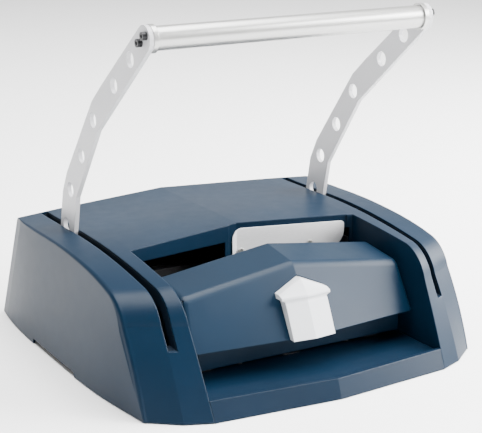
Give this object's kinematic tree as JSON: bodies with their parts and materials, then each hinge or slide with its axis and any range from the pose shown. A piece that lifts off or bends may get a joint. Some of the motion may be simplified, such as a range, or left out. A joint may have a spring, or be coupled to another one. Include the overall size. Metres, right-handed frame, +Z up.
{
  "type": "binding machine",
  "caption": "Desktop binding press with a bail handle on two drilled arms, wings with curved slots, a sliding gabled front block with a push latch, and a spine well with a guide plate.",
  "frame": {"origin": "centre of the machine at table height, under the rubber feet", "axes": "+X to the right seen from the front, +Y to the rear, +Z up"},
  "size_m": [0.5134, 0.52, 0.456],
  "materials": {
    "housing_shell": "semi-matte moulded, dark petrol blue",
    "liner_plastic": "semi-matte moulded, dark petrol blue",
    "pan_plastic": "fine grained black",
    "tray_plastic": "semi-matte moulded, dark petrol blue",
    "block_plastic": "semi-matte moulded, dark petrol blue",
    "latch_plastic": "smooth white",
    "guide_steel": "bright zinc plated sheet",
    "frame_steel": "grey primer on steel plate",
    "bright_steel": "ground steel",
    "black_screw": "black oxide steel",
    "zinc_screw": "zinc plated steel",
    "arm_paint": "satin light grey powder coat",
    "bar_alu": "satin anodised tube",
    "cam_steel": "blackened steel casting",
    "bearing_bronze": "sintered bronze",
    "friction_fibre": "brown friction fibre",
    "acetal": "black acetal",
    "black_rubber": "matt black",
    "spring_steel": "spring wire"
  },
  "bodies": {
    "frame": {"housing": "housing_shell", "slot_liner_left": "liner_plastic", "slot_liner_right": "liner_plastic", "base_pan": "pan_plastic", "front_tray": "tray_plastic", "guide_plate": "guide_steel", "guide_plate_screws": "zinc_screw", "base_plate": "frame_steel", "frame_plate_left": "frame_steel", "frame_plate_right": "frame_steel", "tie_bars": "bright_steel", "frame_screws": "zinc_screw", "guide_beam": "frame_steel", "guide_bushes": "bearing_bronze", "shaft_bushes": "bearing_bronze", "sled_rails": "bright_steel", "brake_strip": "bright_steel", "rubber_feet": "black_rubber", "housing_screws": "black_screw", "handle_stops": "black_rubber", "jaw_springs": "spring_steel"},
    "handle": {"arm_left": "arm_paint", "arm_right": "arm_paint", "handle_bar": "bar_alu", "bar_end_plugs": "bar_alu", "arm_cap_screws": "black_screw", "pivot_shaft": "bright_steel", "friction_discs": "friction_fibre", "arm_hubs": "bright_steel", "hub_nuts": "zinc_screw", "hub_screws": "black_screw", "cam_left": "cam_steel", "cam_right": "cam_steel"},
    "press": {"press_jaw": "bright_steel", "push_rods": "bright_steel", "jaw_screws": "black_screw", "cam_shoes": "bearing_bronze"},
    "carriage": {"front_block": "block_plastic", "carriage_sled": "frame_steel", "sled_shoes": "acetal", "block_screws": "zinc_screw", "anvil_bar": "bright_steel", "anvil_screws": "black_screw", "brake_pin": "bright_steel", "latch_spring": "spring_steel"},
    "latch_body": {"latch": "latch_plastic", "latch_stem": "bright_steel"},
    "brake": {"brake_lever": "frame_steel", "brake_pad": "black_rubber"}
  },
  "joints": [
    {"name": "handle_swing", "type": "hinge", "parent": "frame", "child": "handle", "pos_m": [0, 0.125, 0.07], "axis": [1, 0, 0], "range_deg": [-38, 56]},
    {"name": "jaw_press", "type": "slide", "parent": "frame", "child": "press", "axis": [0, -1, 0], "range_m": [-0.0054, 0.0079], "deforming": ["jaw_springs"]},
    {"name": "carriage_slide", "type": "slide", "parent": "frame", "child": "carriage", "axis": [0, 1, 0], "range_m": [0, 0.045]},
    {"name": "latch_press", "type": "slide", "parent": "carriage", "child": "latch_body", "axis": [0, 1, 0], "range_m": [0, 0.004], "stiffness_N_per_m": 400, "springref_m": -0.002, "deforming": ["latch_spring"]},
    {"name": "brake_turn", "type": "hinge", "parent": "carriage", "child": "brake", "pos_m": [0, -0.13, 0.06], "axis": [-1, 0, 0], "range_deg": [0, 9.6]}
  ],
  "couplings": [
    {"joint": "jaw_press", "follows": "handle_swing", "m_per_rad": 0.008},
    {"joint": "brake_turn", "follows": "latch_press", "rad_per_m": 41.667}
  ]
}
